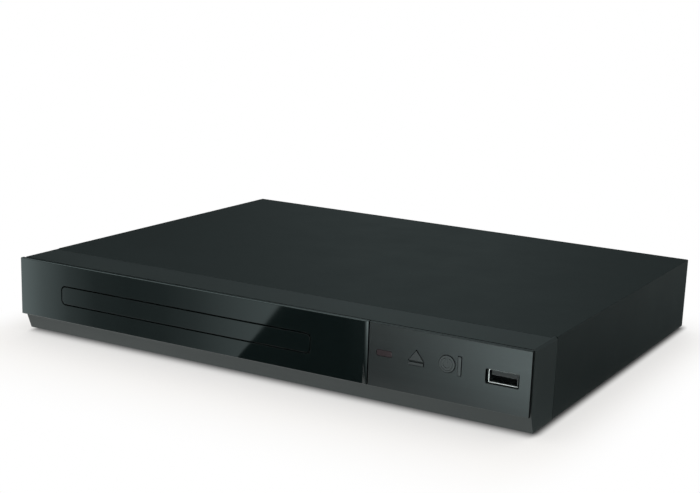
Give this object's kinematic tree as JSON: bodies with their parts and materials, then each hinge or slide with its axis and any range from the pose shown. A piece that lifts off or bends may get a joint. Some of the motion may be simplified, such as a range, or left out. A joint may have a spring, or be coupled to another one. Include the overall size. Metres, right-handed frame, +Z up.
{
  "type": "disc player",
  "caption": "Slim disc player with a motor-driven loading tray behind a flush door, sprung keys, a front socket and rear jacks.",
  "frame": {"origin": "on the surface under the feet, below the middle of the overall box", "axes": "+Z up, the front panel faces -Y, +X to the right seen from the front"},
  "size_m": [0.27, 0.2178, 0.038],
  "materials": {
    "black_plastic": "fine moulded grain",
    "gloss_black": "polished",
    "brushed_panel": "horizontal hairline",
    "red_window": "clear dark red",
    "key_plastic": "satin",
    "painted_steel": "fine satin paint",
    "zinc_steel": "zinc plated sheet",
    "foot_rubber": "matt",
    "black_screw": "blackened",
    "zinc_screw": "zinc plated",
    "green_board": "solder mask",
    "tan_board": "bare laminate",
    "dark_plastic": "matt",
    "bright_metal": "nickel plated",
    "ribbon": "flat ribbon",
    "capacitor_sleeve": "shrink sleeve",
    "yellow_plastic": "polished",
    "white_plastic": "polished",
    "red_plastic": "polished",
    "winding_tape": "tape",
    "bare_aluminium": "mill",
    "red_wire": "insulation",
    "loader_plastic": "moulded",
    "magnet": "sintered",
    "motor_steel": "drawn can",
    "ivory_plastic": "acetal",
    "belt_rubber": "matt",
    "tray_plastic": "moulded",
    "sled_metal": "die cast",
    "lens_glass": "coated"
  },
  "bodies": {
    "case": {"front_frame": "black_plastic", "gloss_panel": "gloss_black", "hairline_panel": "brushed_panel", "indicator_window": "red_window", "top_cover": "painted_steel", "bottom_chassis": "zinc_steel", "rear_panel": "zinc_steel", "feet": "foot_rubber", "cover_screws": "black_screw", "rear_screws": "black_screw", "front_board": "green_board", "tact_switches": "dark_plastic", "usb_shell": "bright_metal", "usb_tongue": "dark_plastic", "front_ribbon": "ribbon", "main_board": "green_board", "main_chips": "dark_plastic", "main_capacitors": "capacitor_sleeve", "av_block": "dark_plastic", "jack_barrels": "bright_metal", "video_insulator": "yellow_plastic", "left_insulator": "white_plastic", "right_insulator": "red_plastic", "hdmi_shell": "bright_metal", "hdmi_tongue": "dark_plastic", "power_board": "tan_board", "transformer": "winding_tape", "power_capacitors": "capacitor_sleeve", "heat_sink": "bare_aluminium", "mains_inlet": "dark_plastic", "inlet_pins": "bright_metal", "power_cable": "red_wire", "loader_chassis": "loader_plastic", "loader_screws": "zinc_screw", "clamp_bridge": "zinc_steel", "loading_motor": "motor_steel", "drive_belt": "belt_rubber"},
    "tray": {"disc_tray": "tray_plastic", "tray_door": "gloss_black"},
    "drive_gear": {"drive_gear": "ivory_plastic"},
    "idler_gear": {"idler_gear": "ivory_plastic"},
    "belt_pulley": {"belt_pulley": "ivory_plastic"},
    "motor_pulley": {"motor_pulley": "ivory_plastic"},
    "slider_cam": {"slider_cam": "ivory_plastic"},
    "traverse": {"traverse_frame": "loader_plastic", "damper_bushings": "belt_rubber", "spindle_motor": "motor_steel", "guide_rods": "bright_metal", "sled_motor": "motor_steel"},
    "turntable": {"turntable": "dark_plastic"},
    "pickup": {"pickup_sled": "sled_metal", "pickup_lens": "lens_glass"},
    "feed_gear": {"feed_gear": "ivory_plastic"},
    "sled_pinion": {"sled_pinion": "ivory_plastic"},
    "clamper": {"clamper": "white_plastic", "clamp_magnet": "magnet"},
    "eject_button": {"eject_button": "key_plastic"},
    "power_button": {"power_button": "key_plastic"}
  },
  "joints": [
    {"name": "tray_slide", "type": "slide", "parent": "case", "child": "tray", "axis": [0, -1, 0], "range_m": [0, 0.137]},
    {"name": "drive_gear_spin", "type": "hinge", "parent": "case", "child": "drive_gear", "pos_m": [0.012, -0.08455, 0.01], "axis": [0, 0, -1], "range_deg": [-5, 877.2]},
    {"name": "idler_gear_spin", "type": "hinge", "parent": "case", "child": "idler_gear", "pos_m": [-0.012, -0.08455, 0.006], "axis": [0, 0, 1], "range_deg": [-5, 1313.3]},
    {"name": "belt_pulley_spin", "type": "hinge", "parent": "case", "child": "belt_pulley", "pos_m": [-0.0264, -0.08455, 0.01], "axis": [0, 0, -1], "range_deg": [-5, 2621.5]},
    {"name": "motor_pulley_spin", "type": "hinge", "parent": "case", "child": "motor_pulley", "pos_m": [-0.064, -0.08655, 0.0164], "axis": [0, 0, -1], "range_deg": [-5, 10471]},
    {"name": "traverse_lift", "type": "hinge", "parent": "case", "child": "traverse", "pos_m": [-0.039, 0.05345, 0.014], "axis": [-1, 0, 0], "range_deg": [0, 5.2]},
    {"name": "cam_slide", "type": "slide", "parent": "case", "child": "slider_cam", "axis": [1, 0, 0], "range_m": [0, 0.01601]},
    {"name": "turntable_spin", "type": "hinge", "parent": "traverse", "child": "turntable", "pos_m": [-0.039, -0.03374, 0.01209], "axis": [0, -0.0906, 0.9959], "continuous": true},
    {"name": "pickup_slide", "type": "slide", "parent": "traverse", "child": "pickup", "axis": [0, 0.9959, 0.0906], "range_m": [0, 0.035]},
    {"name": "feed_gear_spin", "type": "hinge", "parent": "traverse", "child": "feed_gear", "pos_m": [-0.0086, -0.00667, 0.01255], "axis": [0, 0.0906, -0.9959], "range_deg": [-5, 318.3]},
    {"name": "sled_pinion_spin", "type": "hinge", "parent": "traverse", "child": "sled_pinion", "pos_m": [-0.0086, 0.00538, 0.01264], "axis": [0, -0.0906, 0.9959], "range_deg": [-5, 945]},
    {"name": "clamper_spin", "type": "hinge", "parent": "case", "child": "clamper", "pos_m": [-0.039, -0.03355, 0.029], "axis": [0, 0, 1], "continuous": true},
    {"name": "eject_press", "type": "slide", "parent": "case", "child": "eject_button", "axis": [0, 1, 0], "range_m": [0, 0.0006], "stiffness_N_per_m": 400},
    {"name": "power_press", "type": "slide", "parent": "case", "child": "power_button", "axis": [0, 1, 0], "range_m": [0, 0.0006], "stiffness_N_per_m": 400}
  ],
  "couplings": [
    {"joint": "drive_gear_spin", "follows": "tray_slide", "rad_per_m": 111.11},
    {"joint": "idler_gear_spin", "follows": "tray_slide", "rad_per_m": 166.67},
    {"joint": "belt_pulley_spin", "follows": "tray_slide", "rad_per_m": 333.33},
    {"joint": "motor_pulley_spin", "follows": "tray_slide", "rad_per_m": 1333.3},
    {"joint": "cam_slide", "follows": "traverse_lift", "m_per_rad": 0.1763},
    {"joint": "feed_gear_spin", "follows": "pickup_slide", "rad_per_m": 156.25},
    {"joint": "sled_pinion_spin", "follows": "pickup_slide", "rad_per_m": 468.75}
  ]
}
